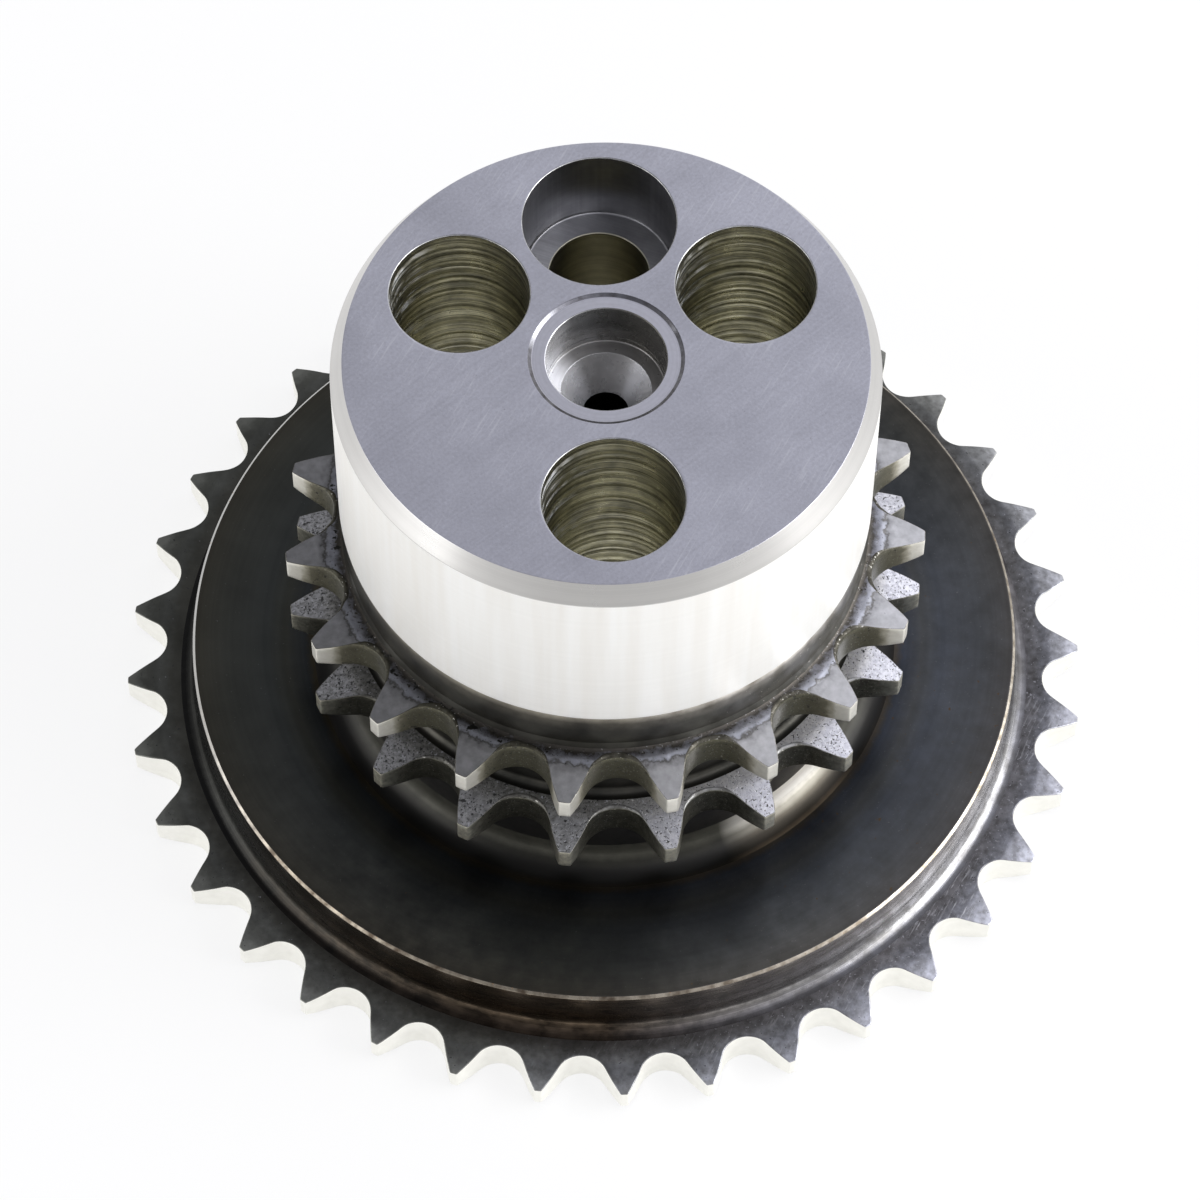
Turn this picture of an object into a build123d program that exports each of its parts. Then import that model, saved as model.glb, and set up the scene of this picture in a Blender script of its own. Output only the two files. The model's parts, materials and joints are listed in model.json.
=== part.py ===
from build123d import *
import math
import os

# Crankshaft sprocket, machined in one piece. Millimetres.
# From the back it is a ring of fine teeth, the thick disc that carries it, a boss, two equal
# rows of coarser teeth for a double chain, a neck, and the ground hub with its bolt holes.
# The origin is the centre of the back face. +Z runs along the axis to the hub's end face,
# and the counterbored screw hole lies towards +Y.

# Centre hole in the hub's end face
centre_bore_radius = 5.48
centre_bore_depth = 5.4
ledge_width = 1.35  # flat step inside the centre bore, outside the cone
cone_angle = 60.0  # included angle of the cone
pilot_radius = 2.1
pilot_depth = 11.0  # straight part, below the cone

# Holes round the centre, all on one circle
bolt_hole_radius = 6.4  # plain, right through
bolt_hole_angles = (30.0, 150.0, 270.0)
screw_hole_radius = 4.65  # right through, below its counterbore
screw_hole_angle = 90.0
screw_head_radius = 7.05  # counterbore
screw_head_depth = 8.7
centre_web = 2.52  # metal between the counterbore and the centre bore
hub_wall = 2.9  # metal between the counterbore and the hub's side

# Hub and neck
hub_length = 22.15
hub_chamfer_width = 1.155
hub_chamfer_length = 2.0
neck_length = 5.6
neck_depth = 0.3  # how far the neck lies inside the hub's side

# The two equal rows of teeth and the chain that they fit
row_pitch = 9.525
row_roller = 6.35  # diameter of the chain's rollers
row_root_gap = 0.7  # least step from the hub's side out to the bottom of the teeth
row_seat_angle = 125.0
row_flank_radius = 19.0
row_tip_factor = 0.964
row_spacing = 9.7
row_thickness = 4.0
row_land = 0.62  # flat part of a row's face, outside the bottom of the teeth
row_bevel_drop = 0.7  # how far each face slopes in at the tips
groove_depth = 1.85  # groove between the rows, below the bottom of the teeth

# Boss between the disc and the rows
boss_length = 6.8
boss_set_in = 0.25  # how far the boss lies inside the bottom of the teeth
boss_foot = 2.2  # sloping foot, where the boss meets the disc

# Disc
disc_radius = 40.3
disc_rise = 5.9  # height of the disc's face above the ring's

# Ring of fine teeth and the chain that it fits
ring_pitch = 8.0
ring_roller = 5.0
ring_root_gap = 3.0  # least flat width from the disc's edge to the bottom of the teeth
ring_seat_angle = 118.0
ring_flank_radius = 25.0
ring_tip_factor = 0.926
ring_thickness = 4.0
ring_land = 0.93
ring_bevel_drop = 0.75

seat_factor = 0.505  # radius of a tooth gap's seat over the roller's diameter
tooth_angle = 90.0  # direction in which all three rows have a tooth
overcut = 1.0  # how far the cuts run past the surfaces that they open


def teeth_to_clear(radius, pitch, roller):
    """Fewest teeth of this chain whose bottoms lie outside the radius."""
    return math.ceil(math.pi / math.asin(pitch / 2 / (radius + seat_factor * roller)))


def pitch_radius(teeth, pitch):
    """Radius on which the centres of the chain's rollers lie."""
    return pitch / (2 * math.sin(math.pi / teeth))


def polar(radius, angle):
    """Point at this radius and angle in degrees."""
    return Vector(radius * math.cos(math.radians(angle)), radius * math.sin(math.radians(angle)))


def tooth_gap(centre, roller, seat_angle, flank_radius, reach):
    """Face of one gap between two teeth, towards +X, open at the given reach.

    An arc slightly larger than the roller seats it. On each side a rounded-out flank leaves
    that arc at a tangent and runs out past the tips.
    """
    seat = seat_factor * roller
    seat_middle = Vector(centre, 0)
    outward = polar(1, 180 - seat_angle / 2)
    seat_end = seat_middle + outward * seat
    flank_middle = seat_middle + outward * (seat + flank_radius)
    # The flank ends where its circle meets the circle of the reach.
    far = flank_middle.length
    between = math.acos((far**2 + reach**2 - flank_radius**2) / (2 * far * reach))
    flank_end = polar(reach, math.degrees(math.atan2(flank_middle.Y, flank_middle.X) - between))
    bulge = ((seat_end + flank_end) / 2 - flank_middle).normalized()
    flank_halfway = flank_middle + bulge * flank_radius

    def mirrored(point):
        return Vector(point.X, -point.Y)

    mouth = Vector(reach, flank_end.Y)
    return make_face(
        Curve()
        + [
            ThreePointArc(mirrored(seat_end), Vector(centre - seat, 0), seat_end),
            ThreePointArc(seat_end, flank_halfway, flank_end),
            Polyline(flank_end, mouth, mirrored(mouth), mirrored(flank_end)),
            ThreePointArc(mirrored(flank_end), mirrored(flank_halfway), mirrored(seat_end)),
        ]
    )


def tooth_gaps(teeth, gap, low, high):
    """The gap repeated round the axis, from one height to another, with a tooth on tooth_angle."""
    tool = Pos(0, 0, low) * extrude(gap, high - low)
    step = 360 / teeth
    return [Rot(0, 0, tooth_angle + step * (count + 0.5)) * tool for count in range(teeth)]


def drill(radius, angle, low, high):
    """Round cutter on the hole circle."""
    middle = polar(hole_circle_radius, angle)
    return Pos(middle.X, middle.Y, low) * Cylinder(
        radius, high - low, align=(Align.CENTER, Align.CENTER, Align.MIN)
    )


# Radii, from the centre out
hole_circle_radius = centre_bore_radius + centre_web + screw_head_radius
hub_radius = hole_circle_radius + screw_head_radius + hub_wall
neck_radius = hub_radius - neck_depth

row_teeth = teeth_to_clear(hub_radius + row_root_gap, row_pitch, row_roller)
row_pitch_radius = pitch_radius(row_teeth, row_pitch)
row_root_radius = row_pitch_radius - seat_factor * row_roller
row_bevel_radius = row_root_radius + row_land
row_tip_radius = row_pitch_radius + (row_tip_factor * row_pitch - row_roller) / 2
groove_radius = row_root_radius - groove_depth
boss_radius = row_root_radius - boss_set_in

ring_teeth = teeth_to_clear(disc_radius + ring_root_gap, ring_pitch, ring_roller)
ring_pitch_radius = pitch_radius(ring_teeth, ring_pitch)
ring_root_radius = ring_pitch_radius - seat_factor * ring_roller
ring_bevel_radius = ring_root_radius + ring_land
ring_tip_radius = ring_pitch_radius + (ring_tip_factor * ring_pitch - ring_roller) / 2

# Heights, from the back face up
disc_face = ring_thickness + disc_rise
lower_row = disc_face + boss_length
upper_row = lower_row + row_spacing
rows_top = upper_row + row_thickness
hub_start = rows_top + neck_length
hub_end = hub_start + hub_length


def row_section(low, inner_radius, outer_radius):
    """Half section of one row as a full disc: its lower face, the tips and its upper face."""
    high = low + row_thickness
    return [
        (inner_radius, low),
        (row_bevel_radius, low),
        (row_tip_radius, low + row_bevel_drop),
        (row_tip_radius, high - row_bevel_drop),
        (row_bevel_radius, high),
        (outer_radius, high),
    ]


# The turned blank, before any tooth or hole is cut: one half section, spun round the axis.
blank_section = make_face(
    Polyline(
        (0, 0),
        (ring_bevel_radius, 0),
        (ring_tip_radius, ring_bevel_drop),
        (ring_tip_radius, ring_thickness - ring_bevel_drop),
        (ring_bevel_radius, ring_thickness),
        (disc_radius, ring_thickness),
        (disc_radius, disc_face),
        (boss_radius + boss_foot, disc_face),
        (boss_radius, disc_face + boss_foot),
        *row_section(lower_row, boss_radius, groove_radius),
        *row_section(upper_row, groove_radius, neck_radius),
        (neck_radius, hub_start),
        (hub_radius, hub_start),
        (hub_radius, hub_end - hub_chamfer_length),
        (hub_radius - hub_chamfer_width, hub_end),
        (0, hub_end),
        close=True,
    )
)
blank = revolve(Plane.XZ * blank_section, Axis.Z, 360)

# Both rows are cut in one pass, which starts above the boss's foot and ends beside the neck.
row_gap = tooth_gap(
    row_pitch_radius, row_roller, row_seat_angle, row_flank_radius, row_tip_radius + overcut
)
row_cut_start = disc_face + (boss_length + boss_foot) / 2
row_cut_end = rows_top + neck_length / 2
ring_gap = tooth_gap(
    ring_pitch_radius, ring_roller, ring_seat_angle, ring_flank_radius, ring_tip_radius + overcut
)
sprocket = blank - tooth_gaps(row_teeth, row_gap, row_cut_start, row_cut_end)
sprocket -= tooth_gaps(ring_teeth, ring_gap, -overcut, ring_thickness + overcut)

# Bolt holes, and the screw hole with its counterbore
bores = [
    drill(bolt_hole_radius, angle, -overcut, hub_end + overcut) for angle in bolt_hole_angles
]
bores.append(drill(screw_hole_radius, screw_hole_angle, -overcut, hub_end + overcut))
bores.append(
    drill(screw_head_radius, screw_hole_angle, hub_end - screw_head_depth, hub_end + overcut)
)
sprocket -= bores

# Centre hole: bore, ledge, cone and pilot, as one spun half section
ledge_height = hub_end - centre_bore_depth
cone_radius = centre_bore_radius - ledge_width
cone_end = ledge_height - (cone_radius - pilot_radius) / math.tan(math.radians(cone_angle / 2))
pilot_end = cone_end - pilot_depth
centre_section = make_face(
    Polyline(
        (0, hub_end + overcut),
        (centre_bore_radius, hub_end + overcut),
        (centre_bore_radius, ledge_height),
        (cone_radius, ledge_height),
        (pilot_radius, cone_end),
        (pilot_radius, pilot_end),
        (0, pilot_end),
        close=True,
    )
)
sprocket -= revolve(Plane.XZ * centre_section, Axis.Z, 360)

os.makedirs("parts", exist_ok=True)
export_step(sprocket, "parts/crankshaft_sprocket.step")

print("teeth", row_teeth, ring_teeth)
print("radii", hub_radius, row_root_radius, row_tip_radius, ring_root_radius, ring_tip_radius)
print("hole circle", hole_circle_radius, "height", hub_end)
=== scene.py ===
import json
import math
from collections import namedtuple

import bmesh
import bpy
import numpy as np
from mathutils import Matrix, Vector


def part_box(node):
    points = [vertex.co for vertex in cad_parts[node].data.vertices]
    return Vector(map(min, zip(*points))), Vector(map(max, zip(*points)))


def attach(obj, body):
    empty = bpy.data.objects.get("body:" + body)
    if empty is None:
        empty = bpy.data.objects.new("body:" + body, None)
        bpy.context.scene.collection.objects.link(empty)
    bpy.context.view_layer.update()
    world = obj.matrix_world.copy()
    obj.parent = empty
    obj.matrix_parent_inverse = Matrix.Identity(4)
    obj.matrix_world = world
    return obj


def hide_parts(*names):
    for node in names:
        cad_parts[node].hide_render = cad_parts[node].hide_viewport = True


# Crankshaft sprocket: the finished surfaces over the packed part. Shapes are worked out in
# millimetres from the back face up, with the hub on +Z, and put into the meshes in metres.
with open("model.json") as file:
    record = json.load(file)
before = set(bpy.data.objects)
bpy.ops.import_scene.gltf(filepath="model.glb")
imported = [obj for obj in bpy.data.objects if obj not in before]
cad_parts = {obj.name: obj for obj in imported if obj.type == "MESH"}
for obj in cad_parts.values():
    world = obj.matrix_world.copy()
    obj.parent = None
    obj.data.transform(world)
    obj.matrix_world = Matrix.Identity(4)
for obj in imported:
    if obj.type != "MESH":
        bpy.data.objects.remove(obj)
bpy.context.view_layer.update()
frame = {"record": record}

NODE = "crankshaft_sprocket"
METRES = 0.001  # one millimetre

mounts = {mount["name"]: mount for mount in frame["record"]["mounts"]}


def size_of(mount, name):
    """One size of a mount, in millimetres."""
    return mounts[mount]["dims"][name]


# Hub and its holes, from the record
total_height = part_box(NODE)[1].z / METRES
hub_radius = size_of("hub_journal", "r_mm")
hole_circle = size_of("bolt_holes", "pcd_mm") / 2
bolt_bore = size_of("bolt_holes", "hole_r_mm")
screw_bore = size_of("screw_hole", "r_mm")
screw_seat = size_of("screw_counterbore", "r_mm")
screw_seat_depth = size_of("screw_counterbore", "length_mm")
centre_bore = size_of("centre_bore", "r_mm")
centre_depth = size_of("centre_bore", "length_mm")

# Turned shape of the blank
lead_in_width = 1.155
lead_in_length = 2.0
hub_length = 22.15
hub_bottom = total_height - hub_length
hub_bottom_break = 0.28
neck_depth = 0.3
neck_radius = hub_radius - neck_depth
shoulder_fillet = 0.75
shoulder_fillet_foot = hub_radius + 0.4
shoulder_rise = 0.12  # shoulder ring over the faces of the front teeth
shoulder_edge = 26.3
shoulder_slope = 0.5  # width over which its edge runs out, from a little outside the edge
shoulder_outside = 0.3
shoulder_wander = 0.16
front_seat_break = 0.42  # edge break at the bottom of the gaps, larger than on the flanks
rear_seat_break = 0.36
seat_break_wander = 0.16
seat_break_reach = 0.22  # share of a tooth's depth over which it runs out
flank_break = 0.05
under_break = 0.09
break_wander = 0.02
recess_radius = 7.08
recess_depth = 0.2
recess_bevel = 0.34
bore_line = 0.7  # height of the fine line in the centre bore, over the ledge
bore_line_half = 0.08
bore_line_depth = 0.05
hole_rim_break = 0.12
back_rim_break = 0.2
cone_mouth = 4.13
pilot_radius = 2.1
pilot_bottom = 38.235
row_thickness = 4.0
front_row_bottom = 26.4
rear_row_bottom = 16.7
row_bevel_drop = 0.7
row_land = 0.62
groove_radius = 23.878
groove_fillet = 0.8
boss_radius = 25.478
boss_cove = 3.0
disc_face = 9.9
disc_radius = 40.3
disc_edge_break = 0.28
disc_foot = 1.5
ring_thickness = 4.0
ring_bevel_drop = 0.75
ring_land = 0.93
neck_face = 24.95  # from here out a face is toothed, and no more turned
groove_face = 24.9
ring_inner = 42.4
ring_break = 0.12
ring_break_wander = 0.04
overlap = 0.06  # where one piece runs on under its neighbour
sunk = 0.004  # and how far it lies below it there
overhang = 0.3  # how far a turned wall turns in at its hidden end

Form = namedtuple("Form", "teeth pitch roller seat_angle flank tip_factor")
row_form = Form(19, 9.525, 6.35, 125.0, 19.0, 0.964)
ring_form = Form(36, 8.0, 5.0, 118.0, 25.0, 0.926)
SEAT_FACTOR = 0.505  # radius of a gap's seat over the roller's diameter

# Bored walls: spacing and strength of the tool's rings
bore_rings = ((0.41, 0.35), (0.66, 0.6), (0.93, 1.0), (1.47, 1.1), (2.3, 1.2))
bore_roughness = 0.05
throat_gap = 0.015  # by which a rim's lowest row stands clear of the bored wall
throat_length = 0.3  # by which it runs down beside that wall
bore_end = 0.2  # height of the walls' lower ends over the back face
bore_fade = 0.8  # over which the rings fade out at both ends
bore_step = 0.1  # between the fine rows of a wall
# Side of each bolt hole's wall that takes painted glints, and their width in radians
glint_side = math.radians(165)
glint_width = 0.75

# Fineness of the meshes
arc_step = 15  # largest turn in degrees between two points of a rounding
line_step = 1.5  # largest gap between two points of a line
line_support = 0.06  # from the end of a line to the point that keeps its shading flat
row_spacing = (0.2, 0.5)  # between the points of an upper and of a lower toothed face
ring_spacing = (0.22, 0.4)
wear_reach = 0.3  # over which wear fades from an edge
largest_edge = 0.5  # larger roundings don't wear like an edge
rim_tuck = 0.004  # between two rows that run along a rim
arc_points = 5  # across an edge break
wall_points = 5  # between the two edge breaks of a toothed wall
circle_columns = 360
disc_columns = 720
bore_columns = 144
seen_depth = 22.0  # down to which the rows of a bolt bore's wall are fine
weld_reach = 0.0005
smooth_angle = math.radians(38)  # flatter edges are shaded smooth

# Sectors of the end face and of the back face: the angles of their sides, by that of the hole
face_inner = 7.6
face_outer = 23.3
screw_angle = 90
bolt_angles = (30, 150, 270)
sectors = {30: (-30, 60), 90: (60, 120), 150: (120, 210), 270: (210, 330)}


# Shapes

Grid = namedtuple("Grid", "points finishes edge")
# Points in rows and columns, with the finish between each two rows and how near each point is to a
# worn edge, or on the bolt bores how far it lies in the painted glints. Rows run outward and down,
# columns run anticlockwise.
Grid.__doc__ = """Points in rows and columns, with the finish between each two rows and how near
each point is to a worn edge. Rows run outward and down, columns run anticlockwise."""


def half_section(corners):
    """Rounded outline of a turned shape, as points, finishes and nearness to a sharp edge.

    Each corner is (radius, height, rounding, finish of the line that follows). A rounding
    swaps the corner for the arc that touches both lines. A line gets a point close to each
    end, so that its shading stays flat. Nearness falls off by exp(-distance / wear_reach).
    """
    spots = np.array([corner[:2] for corner in corners], float)
    roundings = [corner[2] for corner in corners]
    finishes = [corner[3] for corner in corners]
    points = [spots[:1]]
    names = []
    sharp = [np.zeros(1)]
    last = spots[0]
    for number in range(1, len(spots)):
        here = spots[number]
        inward = here - last
        start = here
        arc = np.empty((0, 2))
        if number + 1 < len(spots) and roundings[number] > 0:
            before = (here - spots[number - 1]) / np.linalg.norm(here - spots[number - 1])
            after = (spots[number + 1] - here) / np.linalg.norm(spots[number + 1] - here)
            turn = math.acos(float(np.clip(before @ after, -1, 1)))
            side = np.sign(before[0] * after[1] - before[1] * after[0])
            reach = roundings[number] * math.tan(turn / 2)
            start = here - before * reach
            normal = side * np.array([-before[1], before[0]])
            steps = max(3, math.ceil(math.degrees(turn) / arc_step))
            swing = np.linspace(0, turn, steps + 1)[1:, None]
            middle = start + normal * roundings[number]
            arc = middle + roundings[number] * (np.sin(swing) * before - np.cos(swing) * normal)
            inward = start - last
        length = np.linalg.norm(inward)
        support = min(line_support, length / 4)
        inner = np.linspace(support, length - support, max(2, math.ceil(length / line_step)))
        line = last + np.append(inner, length)[:, None] * inward / length
        convex = len(arc) > 0 and side < 0 and roundings[number] < largest_edge
        points += [line, arc]
        names += [finishes[number - 1]] * (len(line) + len(arc))
        sharp += [np.zeros(len(line)), np.full(len(arc), float(convex))]
        last = arc[-1] if len(arc) else start
    section = np.concatenate(points)
    on_edge = np.concatenate(sharp) > 0
    travel = np.append(0, np.cumsum(np.linalg.norm(np.diff(section, axis=0), axis=1)))
    if not on_edge.any():
        return section, names, np.zeros(len(section))
    away = np.abs(travel[:, None] - travel[on_edge][None]).min(1)
    return section, names, np.exp(-away / wear_reach)


def round_turn(count):
    """Headings in equal steps round the whole circle."""
    return np.arange(count) * 2 * np.pi / count


def turned(corners, headings):
    """Grid of a half section: each of its points carried round the axis, to every heading."""
    section, names, edge = half_section(corners)
    radius, height = section[:, :1], section[:, 1:]
    spun = np.broadcast_arrays(radius * np.cos(headings), radius * np.sin(headings), height)
    return Grid(np.stack(spun, -1), names, np.repeat(edge[:, None], len(headings), 1))


def waves(count, turns, seed):
    """Uneven curve round the whole circle, from -1 to 1: sines of whole turns, summed."""
    random = np.random.default_rng(seed)
    heading = round_turn(count)
    turns = np.array(turns)[:, None]
    shifts = random.uniform(0, 2 * np.pi, turns.shape)
    weights = random.uniform(0.4, 1, turns.shape)
    return (weights * np.sin(turns * heading + shifts)).sum(0) / weights.sum()


def tooth_outline(form, corner, seat_steps, flank_steps):
    """Outline of a toothed row: points, outward directions, nearness to a tip, and height from
    0 at the bottom of a gap to 1 at the tip.

    Points are complex numbers. Half a gap is four arcs that touch each other: the seat about
    the roller's place on the pitch circle, the rounded-out flank, the small corner, and the tip
    land. The half is mirrored, and the gap is turned round the axis with a tooth on +Y.
    """
    pitch_radius = form.pitch / (2 * math.sin(math.pi / form.teeth))
    seat = SEAT_FACTOR * form.roller
    tip = pitch_radius + (form.tip_factor * form.pitch - form.roller) / 2
    leave = math.pi - math.radians(form.seat_angle) / 2
    flank_middle = pitch_radius + (seat + form.flank) * np.exp(1j * leave)
    far = abs(flank_middle)
    to_corner, to_middle = tip - corner, form.flank - corner
    swing = math.acos((far**2 + to_corner**2 - to_middle**2) / (2 * far * to_corner))
    corner_middle = to_corner * np.exp(1j * (np.angle(flank_middle) - swing))
    flank_end = np.angle(corner_middle - flank_middle)
    on_seat = np.exp(1j * np.linspace(math.pi, leave, seat_steps))
    on_flank = np.exp(1j * np.linspace(leave - math.pi, flank_end, flank_steps)[1:])
    on_corner = np.exp(1j * np.linspace(flank_end, np.angle(corner_middle), 6)[1:])
    on_land = np.exp(1j * np.linspace(np.angle(corner_middle), math.pi / form.teeth, 4)[1:])
    seat_arc = pitch_radius + seat * on_seat
    flank_arc = flank_middle + form.flank * on_flank
    corner_arc = corner_middle + corner * on_corner
    points = np.concatenate([seat_arc, flank_arc, corner_arc, tip * on_land])
    outward = np.concatenate([-on_seat, on_flank, on_corner, on_land])
    near_tip = np.exp(-np.maximum(abs(points - corner_middle) - corner, 0) / wear_reach)
    depth = np.clip((abs(points) - (pitch_radius - seat)) / (tip - pitch_radius + seat), 0, 1)

    def whole(half, mirrored):
        return np.concatenate([mirrored[::-1][:-1], half[:-1]])

    gap = whole(points, points.conj())
    gap_outward = whole(outward, outward.conj())
    middles = math.pi / 2 + (np.arange(form.teeth) + 0.5) * 2 * math.pi / form.teeth
    turns = np.exp(1j * middles)[:, None]
    return (
        (turns * gap).ravel(),
        (turns * gap_outward).ravel(),
        np.tile(whole(near_tip, near_tip), form.teeth),
        np.tile(whole(depth, depth), form.teeth),
    )


def face_rows(rim, inner, spacing, height):
    """Rows of a toothed face from its inner circle out to the rim.

    Every row keeps its own radius until it meets the rim, and then runs just inside it.
    """
    reach = abs(rim).max()
    own = np.arange(inner, reach, spacing)[:, None]
    tuck = rim_tuck * np.arange(len(own), 0, -1)[:, None]
    radius = np.minimum(own, abs(rim) - tuck)
    along = rim / abs(rim)
    rows = np.stack([(radius * along).real, (radius * along).imag, height(radius)], -1)
    return rows, np.exp(-(abs(rim) - radius) / wear_reach)


def toothed_grid(outline, inner, spacing, top, under, break_top, break_under, names):
    """Grid of a toothed row: upper face, edge break, wall, edge break and lower face.

    top and under give a face's height at a radius. Each break is a quarter circle between face
    and wall, whose size may change along the outline. names are the finishes of the upper face,
    the wall, the lower face and the upper break.
    """
    points, outward, near_tip, depth = outline
    quarter = np.linspace(0, math.pi / 2, arc_points)[:, None]

    def rounding(size, face, sign):
        rim = points - size * outward
        level = face(abs(rim))
        place = points - size * outward * (1 - np.sin(quarter))
        drop = size * (1 - np.cos(quarter))
        return rim, np.stack([place.real, place.imag, level - sign * drop], -1)

    top_rim, top_arc = rounding(break_top, top, 1)
    under_rim, under_arc = rounding(break_under, under, -1)
    upper, upper_near = face_rows(top_rim, inner[0], spacing[0], top)
    lower, lower_near = face_rows(under_rim, inner[1], spacing[1], under)
    share = np.linspace(0, 1, wall_points + 2)[1:-1, None, None]
    wall = top_arc[-1] * (1 - share) + under_arc[-1] * share
    rows = [upper, top_arc, wall, under_arc[::-1], lower[::-1]]
    on_edge = np.ones((arc_points, len(points)))
    wall_near = np.maximum(near_tip, np.array([0.3, 0.1, 0.05, 0.1, 0.3])[:, None] * on_edge)
    near = [upper_near, on_edge, wall_near, on_edge, lower_near[::-1]]
    face_name, wall_name, under_name, rim_name = names
    wall_count = wall_points + arc_points
    finishes = [face_name] * len(upper) + [rim_name] * (arc_points - 2)
    finishes += [wall_name] * wall_count + [under_name] * (len(lower) + 1)
    return Grid(np.concatenate(rows), finishes, np.concatenate(near)), top_rim, under_rim


def holed_face(hole_angle, hole_radius, rim_break, level, side, name):
    """Grid between one hole's rim and the edge of its sector of a flat face.

    Each point on the sector's edge is joined by a straight line to the point of the hole's rim
    that lies in the same direction from the hole's middle. side is 1 on the end face, where
    rows run from the hole outward, and -1 on the back face, where they run inward.
    """
    first, last = (math.radians(angle) for angle in sectors[hole_angle])
    steps = round(math.degrees(last - first))
    arc = np.linspace(first, last, steps + 1)
    ray = np.linspace(face_inner, face_outer, 25)[1:-1]
    edge = np.concatenate(
        [
            face_outer * np.exp(1j * arc),
            ray[::-1] * np.exp(1j * last),
            face_inner * np.exp(1j * arc[::-1]),
            ray * np.exp(1j * first),
        ]
    )
    middle = hole_circle * np.exp(1j * math.radians(hole_angle))
    heading = (edge - middle) / abs(edge - middle)
    rim = middle + (hole_radius + rim_break) * heading
    share = np.array([0, 0.02, 0.25, 0.5, 0.75, 1])[:, None]
    flat = rim * (1 - share) + edge * share
    quarter = np.linspace(math.pi / 2, 0, arc_points)[:, None]
    lip = middle + heading * (hole_radius + rim_break * (1 - np.sin(quarter)))
    below = rim_break * (1 - np.cos(quarter))
    throat = middle + heading * (hole_radius + throat_gap)
    place = np.concatenate([throat[None], lip, flat[1:]])
    # One column each, the same all round the hole
    depth = np.concatenate([[[rim_break + throat_length]], below, 0 * share[1:]])
    near = np.concatenate([[[0.3]], np.ones((arc_points, 1)), np.exp(-share[1:] * 30)])
    near = np.repeat(near, len(edge), 1)
    rows = np.stack([place.real, place.imag, level - side * depth + 0 * place.real], -1)
    finishes = ["hole_rim"] * arc_points + [name] * (len(flat) - 1)
    if side < 0:
        rows, near, finishes = rows[::-1], near[::-1], finishes[::-1]
    return Grid(rows, finishes, near)


def bored_wall(angle, top, seed):
    """Grid of a bolt hole's wall, standing on its circle, with the tool's uneven rings in it.

    The radius varies up the hole by sines of several feeds whose strength drifts, and the rings
    climb a little round the hole, as a feed does. Rows lie close together near the top. The
    edge value rises on the left of the hole, where the wall is scored.
    """
    random = np.random.default_rng(seed)
    seen = top - seen_depth
    fine = np.arange(top, seen, -bore_step)
    height = np.append(fine, np.linspace(seen, bore_end, 100))[:, None]
    around = round_turn(bore_columns)[None]
    rings = 0
    for feed, share in bore_rings:
        drift = 0.55 + 0.45 * np.sin(height / random.uniform(1.5, 5) + around + random.uniform(0, 6))
        turned_by = 2 * np.pi * height / feed + around + random.uniform(0, 6)
        rings = rings + share * drift * np.sin(turned_by)
    ends = np.clip(np.minimum(top - height, height - bore_end) / bore_fade, 0, 1)
    radius = bolt_bore + bore_roughness * rings * ends / 4
    middle = hole_circle * np.exp(1j * math.radians(angle))
    place = middle + radius * np.exp(1j * around)
    rows = np.stack([place.real, place.imag, height + 0 * around], -1)
    aside = np.angle(np.exp(1j * (around - glint_side)))
    glint_share = np.exp(-((aside / glint_width) ** 2)) + 0 * height
    return Grid(rows, ["bolt_bore"] * (len(rows) - 1), glint_share)


def placed(name, data):
    """New object at the origin of the scene."""
    made = bpy.data.objects.new(name, data)
    bpy.context.scene.collection.objects.link(made)
    return made


def skin(name, grids):
    """One piece from its grids. Edges that meet are welded, and sharp ones stay sharp."""
    points = []
    quads = []
    worn = []
    finish_of = []
    known = list(FINISHES)
    start = 0
    for grid in grids:
        rows, columns = grid.points.shape[:2]
        index = start + np.arange(rows * columns).reshape(rows, columns)
        beside = np.roll(index, -1, 1)
        quads.append(np.stack([index[:-1], index[1:], beside[1:], beside[:-1]], -1).reshape(-1, 4))
        finish_of.append(np.repeat([known.index(finish) for finish in grid.finishes], columns))
        points.append(grid.points.reshape(-1, 3))
        worn.append(grid.edge.ravel())
        start += rows * columns
    mesh = bpy.data.meshes.new(name)
    mesh.from_pydata((np.concatenate(points) * METRES).tolist(), [], np.concatenate(quads).tolist())
    # Edge value: nearness to a worn edge, or on the bolt bores the share of painted glints
    mesh.attributes.new("edge", "FLOAT", "POINT").data.foreach_set("value", np.concatenate(worn))
    number = np.concatenate(finish_of)
    used, slots = np.unique(number, return_inverse=True)
    for finish in used:
        mesh.materials.append(FINISHES[known[finish]])
    mesh.polygons.foreach_set("material_index", slots.ravel())
    mesh.polygons.foreach_set("use_smooth", np.ones(len(number), bool))
    work = bmesh.new()
    work.from_mesh(mesh)
    bmesh.ops.remove_doubles(work, verts=work.verts, dist=weld_reach * METRES)
    work.to_mesh(mesh)
    work.free()
    mesh.set_sharp_from_angle(angle=smooth_angle)
    piece = placed(name, mesh)
    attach(piece, "root")
    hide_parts(NODE)
    return piece


# Finishes

LIT_SIDE = -32  # direction in degrees towards which colours are painted lighter, as painted light
patch_rise = 0.004  # of light patches over dark ones
FINISHES = {}  # every material by its name, filled by steel


def rgba(colour):
    """The colour with full opacity. A plain number is a grey, and a socket stays as it is."""
    if isinstance(colour, bpy.types.NodeSocket):
        return colour
    return (colour, colour, colour, 1) if isinstance(colour, float) else (*colour, 1)


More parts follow.
